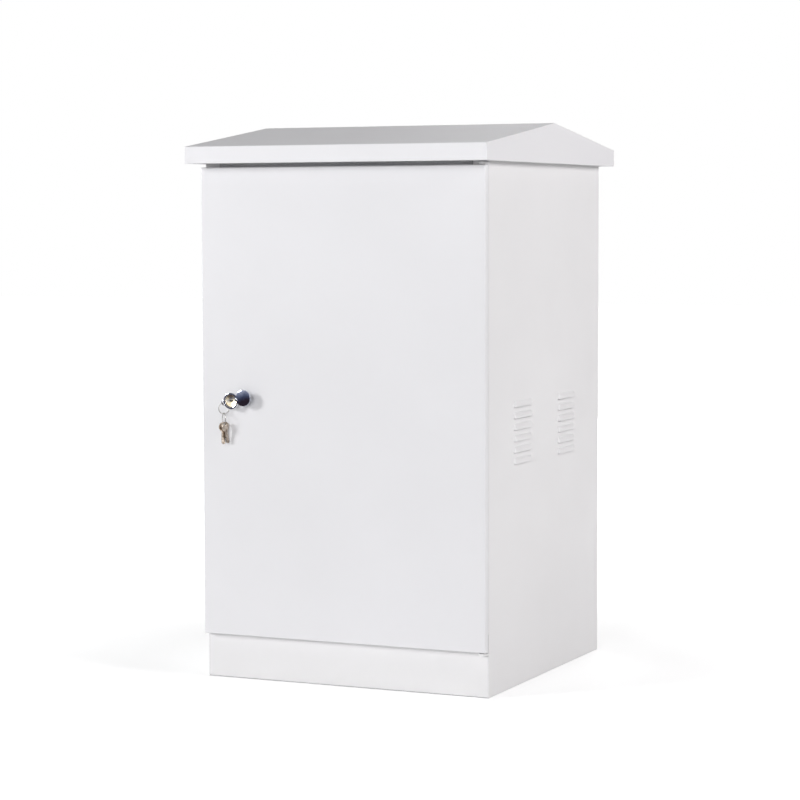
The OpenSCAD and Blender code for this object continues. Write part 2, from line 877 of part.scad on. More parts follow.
module gland_screws() {
  color("silver") translate([0, gland_y, gland_z]) at_gland_screws() {
    translate([0, 0, -sheet - 6]) cylinder(r = screw_r - run_gap, h = gland_t + sheet + 6.5);
    translate([0, 0, gland_t]) cylinder(r = 2*screw_r, h = 3);
  }
}

// rubber ring that grips the plate's edge
module grommet(i) {
  groove = cable_r + grommet_wall;
  rim = groove + 4;
  color("black") translate([i*grommet_pitch, gland_y, gland_z]) rotate_extrude($fn = 64) {
    translate([cable_r, -5]) square([rim - cable_r, 5]);
    translate([cable_r, -0.5]) square([grommet_wall - run_gap, gland_t + 1]);
    translate([cable_r, gland_t]) square([rim - cable_r, 5]);
  }
}

module grommet_left() {
  grommet(-1);
}

module grommet_middle() {
  grommet(0);
}

module grommet_right() {
  grommet(1);
}

// three-sided pocket behind the louvres, open at the top
module filter_holder() {
  x1 = x_side - sheet;
  d = pad_t + sheet;
  difference() {
    translate([x1 - d, pad_y - pad_l/2 - sheet, pad_z - sheet]) cube([d, pad_l + 2*sheet, pad_h + sheet]);
    translate([x1 - pad_t, pad_y - pad_l/2, pad_z]) cube([pad_t + eps, pad_l, pad_h + eps]);
    translate([x1 - d - eps, pad_y - pad_l/2 + holder_edge, pad_z + holder_edge])
      cube([d + eps, pad_l - 2*holder_edge, pad_h]);
  }
}

module filter_holder_right() {
  color("white") filter_holder();
}

module filter_holder_left() {
  color("white") mirror([1, 0, 0]) filter_holder();
}

module filter_pad() {
  translate([x_side - sheet - pad_t, pad_y - pad_l/2, pad_z]) cube([pad_t, pad_l, pad_h]);
}

module filter_pad_right() {
  color("dimgray") filter_pad();
}

module filter_pad_left() {
  color("dimgray") mirror([1, 0, 0]) filter_pad();
}

module earth_stud() {
  color("gold") translate([earth_x, earth_y, 0]) {
    translate([0, 0, floor_z - 5]) cylinder(r = stud_r + 3, h = 5);
    translate([0, 0, floor_z - 1]) cylinder(r = stud_r - run_gap, h = earth_h);
  }
}

module earth_nut() {
  color("gold") difference() {
    hex_z(earth_x, earth_y, nut_af, floor_top, nut_h);
    translate([earth_x, earth_y, floor_z]) cylinder(r = stud_r + run_gap, h = nut_h + 2*sheet);
  }
}

side_panel_left();
side_panel_right();
rear_panel();
plinth_panel();
header_rail();
top_panel();
floor_panel();
base_rail_left();
base_rail_right();
roof_cap();
roof_rib_left();
roof_rib_right();
roof_bolts();
roof_nuts();
hinge_tab_upper();
hinge_tab_lower();
hinge_pin_upper();
hinge_pin_lower();
gland_plate();
gland_screws();
grommet_left();
grommet_middle();
grommet_right();
mounting_plate();
plate_studs();
plate_sleeves();
plate_nuts();
filter_holder_left();
filter_holder_right();
filter_pad_left();
filter_pad_right();
earth_stud();
earth_nut();
door_panel();
door_stiffener_left();
door_stiffener_right();
door_gasket();
pivot_block_upper();
pivot_block_lower();
lock_body();
lock_rosette();
lock_nut();
lock_plug();
lock_cam();
cam_screw();
dust_cap();
cap_rivet();
key_ring();
key_link();
key_front();
key_side();
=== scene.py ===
import math

import bmesh
import bpy
from mathutils import Matrix, Vector, noise


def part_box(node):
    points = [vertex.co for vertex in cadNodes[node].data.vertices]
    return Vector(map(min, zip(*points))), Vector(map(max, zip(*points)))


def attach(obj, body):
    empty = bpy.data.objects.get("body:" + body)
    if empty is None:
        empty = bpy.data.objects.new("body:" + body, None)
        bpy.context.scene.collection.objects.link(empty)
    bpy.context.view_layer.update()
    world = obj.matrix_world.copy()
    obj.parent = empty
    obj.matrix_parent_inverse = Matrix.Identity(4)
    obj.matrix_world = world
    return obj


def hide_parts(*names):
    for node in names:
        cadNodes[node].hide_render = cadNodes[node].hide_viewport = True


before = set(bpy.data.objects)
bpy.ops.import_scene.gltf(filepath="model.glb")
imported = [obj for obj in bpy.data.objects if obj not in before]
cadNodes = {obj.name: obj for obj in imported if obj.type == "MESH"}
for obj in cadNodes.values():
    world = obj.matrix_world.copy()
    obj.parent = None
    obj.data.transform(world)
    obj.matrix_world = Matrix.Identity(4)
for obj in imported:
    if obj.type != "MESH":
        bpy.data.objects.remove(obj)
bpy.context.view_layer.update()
mm = 0.001
print("cabinet frame loaded,", len(cadNodes), "nodes")


# short helpers for node trees
def newFinish(name):
    finish = bpy.data.materials.new(name)
    finish.use_nodes = True
    tree = finish.node_tree
    tree.nodes.clear()
    out = tree.nodes.new("ShaderNodeOutputMaterial")
    shader = tree.nodes.new("ShaderNodeBsdfPrincipled")
    tree.links.new(shader.outputs[0], out.inputs["Surface"])
    return finish, tree, shader


def addNode(tree, kind, sockets=None, **settings):
    made = tree.nodes.new("ShaderNode" + kind)
    for key, value in settings.items():
        setattr(made, key, value)
    for key, value in (sockets or {}).items():
        if isinstance(value, bpy.types.NodeSocket):
            tree.links.new(value, made.inputs[key])
        else:
            made.inputs[key].default_value = value
    return made


def placeOf(tree, stretch=(1, 1, 1)):
    # object coordinates are the row frame in metres, since every node sits at the origin
    where = addNode(tree, "TexCoord").outputs["Object"]
    if stretch == (1, 1, 1):
        return where
    return addNode(tree, "Mapping", {"Vector": where, "Scale": stretch}).outputs[0]


def grain(tree, where, scale, detail=2.0, rough=0.5):
    made = addNode(tree, "TexNoise", {"Vector": where, "Scale": scale, "Detail": detail, "Roughness": rough})
    return made.outputs[0]


def spread(tree, value, low, high, fromLow=0.3, fromHigh=0.7):
    made = addNode(tree, "MapRange", {"Value": value, "From Min": fromLow, "From Max": fromHigh,
                                      "To Min": low, "To Max": high})
    return made.outputs[0]


def tints(tree, value, stops):
    made = addNode(tree, "ValToRGB", {"Fac": value})
    ramp = made.color_ramp
    while len(ramp.elements) < len(stops):
        ramp.elements.new(0.5)
    for element, (at, colour) in zip(ramp.elements, stops):
        element.position = at
        element.color = (*colour, 1)
    return made.outputs[0]


def bumpy(tree, height, strength, depth, under=None):
    sockets = {"Height": height, "Strength": strength, "Distance": depth}
    if under is not None:
        sockets["Normal"] = under
    return addNode(tree, "Bump", sockets).outputs[0]


def edgeMask(tree, radius):
    # bright where the surface turns within the radius, so on folds and cut edges
    soft = addNode(tree, "Bevel", {"Radius": radius}, samples=6).outputs[0]
    flat = addNode(tree, "NewGeometry").outputs["Normal"]
    same = addNode(tree, "VectorMath", {0: soft, 1: flat}, operation="DOT_PRODUCT").outputs["Value"]
    return spread(tree, same, 1.0, 0.0, 0.80, 0.995)


# finishes: colours are linear, lengths in metres
whitePaint = {
    "colour": (0.815, 0.810, 0.830),
    "thin": (0.790, 0.785, 0.803),       # where the coat lies thinner
    # the colour below is painted shade, laid by ambient occlusion into inner corners, gaps and under lips
    "creaseShade": (0.300, 0.300, 0.320), "creaseReach": 0.014, "creaseAmount": 0.80,
    "edge": (0.700, 0.700, 0.705),       # rubbed folds and cut edges
    "dust": (0.690, 0.670, 0.640),
    "peelSize": 520.0, "peelDepth": 0.00006, "peelStrength": 0.22,
    "gloss": (0.44, 0.54), "shine": 0.35,
    "cloudSize": 2.2, "rubWidth": 0.0016, "rubSize": 60.0, "rubAmount": 0.55, "speckSize": 24.0, "glossSize": 14.0,
    "dustHeight": 0.10,
    "topShade": (0.700, 0.695, 0.712), "topShadeAmount": 0.0,      # painted shade on faces that look up
}
bodyWhite = whitePaint | {"colour": (0.845, 0.838, 0.847), "thin": (0.815, 0.808, 0.817), "peelSize": 320.0,
                          "peelStrength": 0.40}
roofWhite = whitePaint | {"colour": (0.865, 0.860, 0.880), "thin": (0.840, 0.835, 0.855), "shine": 0.04,
                          "gloss": (0.58, 0.68), "topShadeAmount": 0.9}
# header and top panel: a much darker painted shade over a longer reach, for the dark gap under the roof
deepShadeWhite = bodyWhite | {"creaseShade": (0.130, 0.130, 0.160), "creaseReach": 0.06, "creaseAmount": 0.95}


def powderCoat(name, look, dusty=0.0):
    finish, tree, shader = newFinish(name)
    where = placeOf(tree)
    coat = tints(tree, grain(tree, where, look["cloudSize"], 3.0), [(0.35, look["thin"]), (0.62, look["colour"])])
    patchy = spread(tree, grain(tree, where, look["rubSize"], 4.0), 0.0, look["rubAmount"])
    rub = addNode(tree, "Math", {0: edgeMask(tree, look["rubWidth"]), 1: patchy}, operation="MULTIPLY").outputs[0]
    worn = addNode(tree, "MixRGB", {"Fac": rub, "Color1": coat, "Color2": (*look["edge"], 1)}).outputs[0]
    if dusty:
        height = addNode(tree, "SeparateXYZ", {0: where}).outputs[2]
        low = spread(tree, height, dusty, 0.0, 0.0, look["dustHeight"])
        speck = spread(tree, grain(tree, where, look["speckSize"], 5.0, 0.65), 0.2, 1.0)
        settled = addNode(tree, "Math", {0: low, 1: speck}, operation="MULTIPLY").outputs[0]
        worn = addNode(tree, "MixRGB", {"Fac": settled, "Color1": worn, "Color2": (*look["dust"], 1)}).outputs[0]
    # painted shade: faces that look up are darkened, as less light falls on them from above
    if look["topShadeAmount"]:
        facing = addNode(tree, "SeparateXYZ", {0: addNode(tree, "NewGeometry").outputs["Normal"]}).outputs[2]
        paintedTopShade = spread(tree, facing, 0.0, look["topShadeAmount"], 0.70, 0.93)
        worn = addNode(tree, "MixRGB", {"Fac": paintedTopShade, "Color1": worn, "Color2": (*look["topShade"], 1)}).outputs[0]
    # painted shade: the coat darkens in inner corners, gaps and under lips, where ambient occlusion finds them
    shut = addNode(tree, "AmbientOcclusion", {"Distance": look["creaseReach"]}, samples=8).outputs["AO"]
    paintedShade = spread(tree, shut, look["creaseAmount"], 0.0, 0.08, 0.55)
    worn = addNode(tree, "MixRGB", {"Fac": paintedShade, "Color1": worn, "Color2": (*look["creaseShade"], 1)}).outputs[0]
    tree.links.new(worn, shader.inputs["Base Color"])
    sheen = grain(tree, where, look["glossSize"], 3.0)
    tree.links.new(spread(tree, sheen, *look["gloss"]), shader.inputs["Roughness"])
    peel = bumpy(tree, grain(tree, where, look["peelSize"], 2.0), look["peelStrength"], look["peelDepth"])
    tree.links.new(peel, shader.inputs["Normal"])
    shader.inputs["Specular IOR Level"].default_value = look["shine"]
    return finish


zincSheet = {"pale": (0.66, 0.67, 0.69), "mid": (0.54, 0.55, 0.57), "dull": (0.44, 0.45, 0.47),
             "spangle": 70.0, "gloss": (0.30, 0.46),
             "grainSize": 900.0, "grainStrength": 0.15, "grainDepth": 0.00004}


def galvanised(name, look):
    finish, tree, shader = newFinish(name)
    where = placeOf(tree)
    cells = addNode(tree, "TexVoronoi", {"Vector": where, "Scale": look["spangle"]})
    shade = addNode(tree, "SeparateColor", {0: cells.outputs["Color"]}).outputs[0]
    colour = tints(tree, shade, [(0.0, look["dull"]), (0.5, look["mid"]), (1.0, look["pale"])])
    tree.links.new(colour, shader.inputs["Base Color"])
    shader.inputs["Metallic"].default_value = 1.0
    tree.links.new(spread(tree, shade, *look["gloss"], 0.0, 1.0), shader.inputs["Roughness"])
    dull = bumpy(tree, grain(tree, where, look["grainSize"], 2.0), look["grainStrength"], look["grainDepth"])
    tree.links.new(dull, shader.inputs["Normal"])
    return finish


platedSteel = {"pale": (0.70, 0.69, 0.64), "dull": (0.50, 0.49, 0.45), "gloss": (0.24, 0.40), "size": 130.0}
chromePlate = {"pale": (0.80, 0.81, 0.83), "dull": (0.70, 0.71, 0.74), "gloss": (0.05, 0.13), "size": 90.0}
# the dust cap is chrome like the lock; this darker blue-grey copy of the chrome paints in its dark reflection
capReflectionTint = {"pale": (0.50, 0.53, 0.63), "dull": (0.38, 0.41, 0.50), "gloss": (0.04, 0.10), "size": 90.0}
nickelKey = {"pale": (0.64, 0.56, 0.48), "dull": (0.24, 0.195, 0.155), "gloss": (0.16, 0.30), "size": 190.0}
ringNickel = {"pale": (0.46, 0.45, 0.43), "dull": (0.22, 0.21, 0.20), "gloss": (0.14, 0.26), "size": 220.0}
scratches = {"size": 1500.0, "depth": 0.00002}


def smoothMetal(name, look, scratch=0.12, along=(1, 1, 1)):
    finish, tree, shader = newFinish(name)
    where = placeOf(tree)
    cloud = grain(tree, where, look["size"], 4.0, 0.6)
    tree.links.new(tints(tree, cloud, [(0.38, look["dull"]), (0.60, look["pale"])]), shader.inputs["Base Color"])
    shader.inputs["Metallic"].default_value = 1.0
    tree.links.new(spread(tree, cloud, look["gloss"][1], look["gloss"][0]), shader.inputs["Roughness"])
    lines = grain(tree, placeOf(tree, along), scratches["size"], 2.0)
    tree.links.new(bumpy(tree, lines, scratch, scratches["depth"]), shader.inputs["Normal"])
    return finish


plugBrass = {"pale": (0.97, 0.89, 0.72), "dull": (0.82, 0.68, 0.45), "gloss": (0.14, 0.26), "turning": 5200.0,
             "dish": 12.5, "dishAt": (0.0012, 0, 0.0060), "slotShade": (0.17, 0.085, 0.035), "slotReach": 0.003,
             "cloud": 240.0, "turnStrength": 0.12, "turnDepth": 0.00002}


def turnedBrass(name, look, centre):
    finish, tree, shader = newFinish(name)
    where = placeOf(tree)
    off = addNode(tree, "VectorMath", {0: where, 1: centre}, operation="SUBTRACT").outputs["Vector"]
    parts = addNode(tree, "SeparateXYZ", {0: off})
    flat = addNode(tree, "CombineXYZ", {0: parts.outputs[0], 2: parts.outputs[2]}).outputs[0]
    out = addNode(tree, "VectorMath", {0: flat}, operation="LENGTH").outputs["Value"]
    phase = addNode(tree, "Math", {0: out, 1: look["turning"]}, operation="MULTIPLY").outputs[0]
    rings = addNode(tree, "Math", {0: phase}, operation="SINE").outputs[0]
    cloud = grain(tree, where, look["cloud"], 3.0)
    face = tints(tree, cloud, [(0.36, look["dull"]), (0.60, look["pale"])])
    # painted shade: the brass darkens in the keyway and other recesses, where ambient occlusion finds them
    shut = addNode(tree, "AmbientOcclusion", {"Distance": look["slotReach"]}, samples=8).outputs["AO"]
    deep = spread(tree, shut, 1.0, 0.0, 0.25, 0.70)
    dark = addNode(tree, "MixRGB", {"Fac": deep, "Color1": face, "Color2": (*look["slotShade"], 1)}).outputs[0]
    tree.links.new(dark, shader.inputs["Base Color"])
    shader.inputs["Metallic"].default_value = 1.0
    tree.links.new(spread(tree, cloud, look["gloss"][1], look["gloss"][0]), shader.inputs["Roughness"])
    aside = addNode(tree, "VectorMath", {0: flat, 1: look["dishAt"]}, operation="SUBTRACT").outputs["Vector"]
    square = addNode(tree, "VectorMath", {0: aside, 1: aside}, operation="DOT_PRODUCT").outputs["Value"]
    hollow = addNode(tree, "Math", {0: square, 1: look["dish"]}, operation="MULTIPLY").outputs[0]
    dished = bumpy(tree, hollow, 1.0, 1.0)                # the face is turned slightly hollow
    turned = bumpy(tree, rings, look["turnStrength"], look["turnDepth"], dished)
    tree.links.new(turned, shader.inputs["Normal"])
    return finish


blackRubber = {"colour": (0.030, 0.030, 0.032), "bloom": (0.075, 0.075, 0.078), "gloss": (0.58, 0.74),
               "bloomSize": 40.0, "grainSize": 1400.0, "grainStrength": 0.25, "grainDepth": 0.00006}


def rubberFinish(name, look):
    finish, tree, shader = newFinish(name)
    where = placeOf(tree)
    bloom = grain(tree, where, look["bloomSize"], 4.0)
    tree.links.new(tints(tree, bloom, [(0.4, look["colour"]), (0.72, look["bloom"])]), shader.inputs["Base Color"])
    tree.links.new(spread(tree, bloom, *look["gloss"]), shader.inputs["Roughness"])
    fine = bumpy(tree, grain(tree, where, look["grainSize"], 2.0), look["grainStrength"], look["grainDepth"])
    tree.links.new(fine, shader.inputs["Normal"])
    return finish


filterFoam = {"cell": (0.055, 0.056, 0.060), "strand": (0.26, 0.265, 0.275), "cellSize": 620.0,
              "rough": (0.85, 0.97), "roughSize": 30.0, "pitStrength": 0.9, "pitDepth": 0.0011}


def foamFinish(name, look):
    finish, tree, shader = newFinish(name)
    where = placeOf(tree)
    cells = addNode(tree, "TexVoronoi", {"Vector": where, "Scale": look["cellSize"]}, feature="DISTANCE_TO_EDGE")
    gap = cells.outputs["Distance"]
    tree.links.new(tints(tree, gap, [(0.04, look["strand"]), (0.20, look["cell"])]), shader.inputs["Base Color"])
    tree.links.new(spread(tree, grain(tree, where, look["roughSize"]), *look["rough"]), shader.inputs["Roughness"])
    deep = addNode(tree, "Math", {0: 1.0, 1: gap}, operation="SUBTRACT").outputs[0]
    tree.links.new(bumpy(tree, deep, look["pitStrength"], look["pitDepth"]), shader.inputs["Normal"])
    return finish


lockLow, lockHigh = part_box("lock_plug")
lockCentre = (lockLow + lockHigh) / 2          # on the lock's axis

bodyPaint = powderCoat("body powder coat", bodyWhite, dusty=0.12)
doorPaint = powderCoat("door powder coat", whitePaint)
roofPaint = powderCoat("roof powder coat", roofWhite)
deepShadePaint = powderCoat("powder coat with deep painted shade", deepShadeWhite)
zinc = galvanised("galvanised sheet", zincSheet)
plated = smoothMetal("plated fixings", platedSteel, 0.16)
chrome = smoothMetal("lock chrome", chromePlate, 0.05)
capPaintedReflection = smoothMetal("dust cap chrome, painted dark reflection", capReflectionTint, 0.05)
nickel = smoothMetal("key nickel", nickelKey, 0.25, (1, 1, 0.08))
ringSteel = smoothMetal("key ring wire", ringNickel, 0.12)
brass = turnedBrass("turned brass", plugBrass, lockCentre)
earthBrass = smoothMetal("earth stud brass", plugBrass | {"size": 200.0}, 0.16)
rubber = rubberFinish("black rubber", blackRubber)
foam = foamFinish("filter foam", filterFoam)

finishOf = {
    bodyPaint: ["side_panel_left", "side_panel_right", "rear_panel", "plinth_panel", "floor_panel",
                "hinge_tab_upper", "hinge_tab_lower", "filter_holder_left", "filter_holder_right"],
    doorPaint: ["door_panel", "door_stiffener_left", "door_stiffener_right"],
    deepShadePaint: ["header_rail", "top_panel"],
    roofPaint: ["roof_cap", "roof_rib_left", "roof_rib_right"],
    zinc: ["base_rail_left", "base_rail_right", "gland_plate", "mounting_plate"],
    plated: ["roof_bolts", "roof_nuts", "hinge_pin_upper", "hinge_pin_lower", "gland_screws", "plate_studs",
             "plate_sleeves", "plate_nuts", "pivot_block_upper", "pivot_block_lower", "lock_nut", "lock_cam",
             "cam_screw"],
    chrome: ["lock_body", "lock_rosette", "cap_rivet"],
    capPaintedReflection: ["dust_cap"],
    brass: ["lock_plug"],
    earthBrass: ["earth_stud", "earth_nut"],
    ringSteel: ["key_ring", "key_link"],
    nickel: ["key_front", "key_side"],
    rubber: ["door_gasket", "grommet_left", "grommet_middle", "grommet_right"],
    foam: ["filter_pad_left", "filter_pad_right"],
}
for finish, names in finishOf.items():
    for name in names:
        cadNodes[name].data.materials.clear()
        cadNodes[name].data.materials.append(finish)
print("finishes made,", len(finishOf))


# rounded edges on the CAD pieces, widths in mm
edgeRound = {
    "roof_cap": 0.9, "door_panel": 0.4, "plinth_panel": 0.4, "side_panel_left": 0.4, "side_panel_right": 0.4,
    "header_rail": 0.4, "hinge_tab_upper": 0.5, "hinge_tab_lower": 0.5, "mounting_plate": 0.5,
    "gland_plate": 0.4, "base_rail_left": 0.6, "base_rail_right": 0.6, "door_gasket": 2.0,
    "lock_body": 0.45, "lock_rosette": 0.45, "lock_plug": 0.25, "dust_cap": 0.4, "lock_cam": 0.5,
    "hinge_pin_upper": 0.4, "hinge_pin_lower": 0.4, "pivot_block_upper": 0.5, "pivot_block_lower": 0.5,
}


def roundEdges(name, width):
    node = cadNodes[name]
    weld = node.modifiers.new("joined", "WELD")
    weld.merge_threshold = 0.00001
    flat = node.modifiers.new("flats", "DECIMATE")
    flat.decimate_type = "DISSOLVE"
    flat.angle_limit = math.radians(0.6)
    edge = node.modifiers.new("edges", "BEVEL")
    edge.width = width * mm
    edge.segments = 3
    edge.limit_method = "ANGLE"
    edge.angle_limit = math.radians(38)
    edge.use_clamp_overlap = False
    edge.miter_outer = "MITER_ARC"
    smooth = node.modifiers.new("shading", "WEIGHTED_NORMAL")
    smooth.keep_sharp = True
    smooth.weight = 80


for name, width in edgeRound.items():
    roundEdges(name, width)
print("edges rounded on", len(edgeRound), "pieces")


# a shape is its points and its faces
def skin(rings, loop=False, caps=True):
    count, rows = len(rings[0]), len(rings)
    points = [tuple(p) for ring in rings for p in ring]
    faces = []
    for row in range(rows if loop else rows - 1):
        after = (row + 1) % rows
        for col in range(count):
            side = (col + 1) % count
            faces.append((row * count + col, row * count + side, after * count + side, after * count + col))
    if caps and not loop:
        faces.append(tuple(reversed(range(count))))
        faces.append(tuple(range((rows - 1) * count, rows * count)))
    return points, faces


def joined(shapes):
    points, faces = [], []
    for some, sides in shapes:
        start = len(points)
        points += some
        faces += [tuple(i + start for i in side) for side in sides]
    return points, faces


def placed(shape, place):
    points, faces = shape
    return [tuple(place @ Vector(p)) for p in points], faces


def addPiece(name, shape, finish, body, stands, sharp=35):
    points, faces = shape
    mesh = bpy.data.meshes.new(name)
    mesh.from_pydata(points, [], faces)
    tidy = bmesh.new()
    tidy.from_mesh(mesh)
    bmesh.ops.recalc_face_normals(tidy, faces=tidy.faces)
    tidy.to_mesh(mesh)
    tidy.free()
    mesh.shade_smooth()
    mesh.set_sharp_from_angle(angle=math.radians(sharp))
    mesh.materials.append(finish)
    piece = bpy.data.objects.new(name, mesh)
    bpy.context.scene.collection.objects.link(piece)
    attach(piece, body)
    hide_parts(*stands)
    return piece


def circle(radius, height, count=48):
    return [(radius * math.cos(2 * math.pi * i / count), radius * math.sin(2 * math.pi * i / count), height)
            for i in range(count)]


def lathe(profile, count=48, loop=True):
    return skin([circle(r, h, count) for r, h in profile], loop=loop)


def hexRadius(angle, across):
    turn = math.radians(60)
    return across / 2 / math.cos((angle + turn / 2) % turn - turn / 2)


nutLook = {"washer": 0.96, "slant": 30.0, "boreEdge": 0.5 * mm}


# hex nut with both faces chamfered, standing on z = 0
def hexNut(across, tall, bore, count=48):
    washer = across / 2 * nutLook["washer"]
    edge = nutLook["boreEdge"]

    def outline(height, limit):
        ring = []
        for i in range(count):
            angle = 2 * math.pi * i / count
            radius = min(limit, hexRadius(angle, across))
            ring.append((radius * math.cos(angle), radius * math.sin(angle), height))
        return ring

    corner = across / math.sqrt(3)
    drop = (corner - washer) * math.tan(math.radians(nutLook["slant"]))
    return skin([circle(bore, edge), circle(bore + edge, 0), outline(0, washer), outline(drop, corner),
                 outline(tall - drop, corner), outline(tall, washer), circle(bore + edge, tall),
                 circle(bore, tall - edge)], loop=True)


# in pitches, but for the steps of each turn
threadLook = {"depth": 0.54, "endCut": 0.8, "steps": 6}


# threaded rod along +z from z = 0, chamfered at its top end
def threadedRod(radius, length, pitch, plain=0.0, count=24):
    depth = threadLook["depth"] * pitch
    cutFrom = length - threadLook["endCut"] * pitch
    rings = [circle(radius, 0, count)]
    if plain:
        rings.append(circle(radius, plain, count))
    steps = max(2, int((length - plain) / pitch * threadLook["steps"]))
    for step in range(steps + 1):
        height = plain + (length - plain) * step / steps
        ring = []
        for i in range(count):
            phase = (height / pitch - i / count) % 1.0
            cut = depth * (1 - abs(2 * phase - 1))
            least = min(radius - cut, radius - max(0.0, height - cutFrom))
            angle = 2 * math.pi * i / count
            ring.append((least * math.cos(angle), least * math.sin(angle), height))
        rings.append(ring)
    return skin(rings)


def alongY(point):
    # turns +z to -y, for what stands on an upright face and points to the front
    return Matrix.Translation(point) @ Matrix.Rotation(math.radians(90), 4, "X")


# threaded fixings
fixings = {"pitch": 1.25 * mm, "across": 13 * mm, "nut": 6.5 * mm, "stud": 4 * mm, "headTall": 5 * mm,
           "screwHead": 5 * mm, "screwTall": 3 * mm, "screw": 2.45 * mm, "screwPitch": 0.8 * mm,
           "studThread": 14 * mm, "slack": 0.05 * mm, "headBore": 0.6 * mm, "boltPlain": 2 * mm, "boltSunk": 1 * mm,
           "earthPlain": 6 * mm, "lockNut": 27 * mm, "lockBore": 9.55 * mm, "camNut": 11 * mm, "camBore": 2.9 * mm}


def corners(name, margin):
    low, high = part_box(name)
    return low + Vector(margin), high - Vector(margin)


def fixingPlaces():
    studLow, studHigh = corners("plate_studs", (fixings["stud"], 0, fixings["stud"]))
    return [(x, z) for x in (studLow.x, studHigh.x) for z in (studLow.z, studHigh.z)]


studLow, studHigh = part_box("plate_studs")
nutLow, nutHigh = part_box("plate_nuts")
rods, nuts = [], []
for x, z in fixingPlaces():
    length = studHigh.y - studLow.y
    rods.append(placed(threadedRod(fixings["stud"], length, fixings["pitch"], plain=length - fixings["studThread"]),
                       alongY((x, studHigh.y, z))))
    nuts.append(placed(hexNut(fixings["across"], nutHigh.y - nutLow.y, fixings["stud"] + fixings["slack"]),
                       alongY((x, nutHigh.y, z))))
addPiece("plateStuds", joined(rods), plated, "cabinet", ["plate_studs"])
addPiece("plateNuts", joined(nuts), plated, "cabinet", ["plate_nuts"], 28)

boltLow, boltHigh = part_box("roof_bolts")
roofNutLow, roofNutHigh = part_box("roof_nuts")
bolts, nuts = [], []
halfAcross = fixings["across"] / math.sqrt(3)
for x in (boltLow.x + halfAcross, boltHigh.x - halfAcross):
    for y in (boltLow.y + fixings["across"] / 2, boltHigh.y - fixings["across"] / 2):
        bolts.append(placed(hexNut(fixings["across"], fixings["headTall"], fixings["headBore"]),
                            Matrix.Translation((x, y, boltLow.z))))
        shankFrom = boltLow.z + fixings["boltSunk"]
        bolts.append(placed(threadedRod(fixings["stud"], boltHigh.z - shankFrom, fixings["pitch"],
                                        plain=fixings["headTall"] + fixings["boltPlain"]),
                            Matrix.Translation((x, y, shankFrom))))
        nuts.append(placed(hexNut(fixings["across"], roofNutHigh.z - roofNutLow.z,
                                  fixings["stud"] + fixings["slack"]),
                           Matrix.Translation((x, y, roofNutLow.z))))
addPiece("roofBolts", joined(bolts), plated, "cabinet", ["roof_bolts"], 28)
addPiece("roofNuts", joined(nuts), plated, "cabinet", ["roof_nuts"], 28)

earthLow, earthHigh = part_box("earth_stud")
earthNutLow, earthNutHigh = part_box("earth_nut")
earthAt = (earthLow + earthHigh) / 2
earthRod = threadedRod(fixings["stud"] - fixings["slack"], earthHigh.z - earthLow.z, fixings["pitch"],
                       plain=fixings["earthPlain"])
earthHead = hexNut(fixings["across"], fixings["headTall"], fixings["headBore"])
addPiece("earthStud", placed(joined([earthRod, earthHead]), Matrix.Translation((earthAt.x, earthAt.y, earthLow.z))),
         earthBrass, "cabinet", ["earth_stud"], 28)
addPiece("earthNut", placed(hexNut(fixings["across"], earthNutHigh.z - earthNutLow.z, fixings["stud"]),
                            Matrix.Translation((earthAt.x, earthAt.y, earthNutLow.z))),
         earthBrass, "cabinet", ["earth_nut"], 28)


# shares of the head's radius and height
panLook = {"rows": (0.02, 0.12, 0.22, 0.32, 0.44, 0.56, 0.68, 0.80, 0.90, 0.97, 1.0), "dome": 0.75, "bulge": 2.6,
           "rim": 0.45, "armWide": 0.14, "armLong": 0.62, "armDeep": 0.5}


# pan head with a cross recess, head on z = 0
def panScrew(headRadius, headTall, shank, length, pitch, count=48):
    rings = []
    for part in panLook["rows"]:
        domed = headTall * math.sqrt(max(0.0, 1 - panLook["dome"] * part ** panLook["bulge"]))
        top = domed if part < 1 else headTall * panLook["rim"]
        ring = []
        for i in range(count):
            angle = 2 * math.pi * i / count
            x, y = part * headRadius * math.cos(angle), part * headRadius * math.sin(angle)
            cross = min(abs(x), abs(y)) < panLook["armWide"] * headRadius and part < panLook["armLong"]
            ring.append((x, y, top - (headTall * panLook["armDeep"] * (1 - part) if cross else 0)))
        rings.append(ring)
    rings.append(circle(headRadius, 0, count))
    rings.append(circle(shank, 0, count))
    head = skin(rings)
    rod = placed(threadedRod(shank, length, pitch), Matrix.Rotation(math.radians(180), 4, "X"))
    return joined([head, rod])


screwLow, screwHigh = corners("gland_screws", (fixings["screwHead"], fixings["screwHead"], 0))
headBase = screwHigh.z - fixings["screwTall"]
screws = [placed(panScrew(fixings["screwHead"], fixings["screwTall"], fixings["screw"], headBase - screwLow.z,
                          fixings["screwPitch"]), Matrix.Translation((x, y, headBase)))
          for x in (screwLow.x, screwHigh.x) for y in (screwLow.y, screwHigh.y)]
addPiece("glandScrews", joined(screws), plated, "cabinet", ["gland_screws"])

lockNutLow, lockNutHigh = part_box("lock_nut")
camNutLow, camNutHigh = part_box("cam_screw")
addPiece("lockNut", placed(hexNut(fixings["lockNut"], lockNutHigh.y - lockNutLow.y, fixings["lockBore"]),
                           alongY((lockCentre.x, lockNutHigh.y, lockCentre.z))),
         plated, "door", ["lock_nut"], 28)
addPiece("camNut", placed(hexNut(fixings["camNut"], camNutHigh.y - camNutLow.y, fixings["camBore"]),
                          alongY((lockCentre.x, camNutHigh.y, lockCentre.z))),
         plated, "lock_cylinder", ["cam_screw"], 28)
print("threaded fixings built")


# rubber grommets with rounded lips
grommetLook = {"lip": 1.6 * mm, "hole": 20 * mm, "groove": 24.95 * mm, "slant": 0.3 * mm}


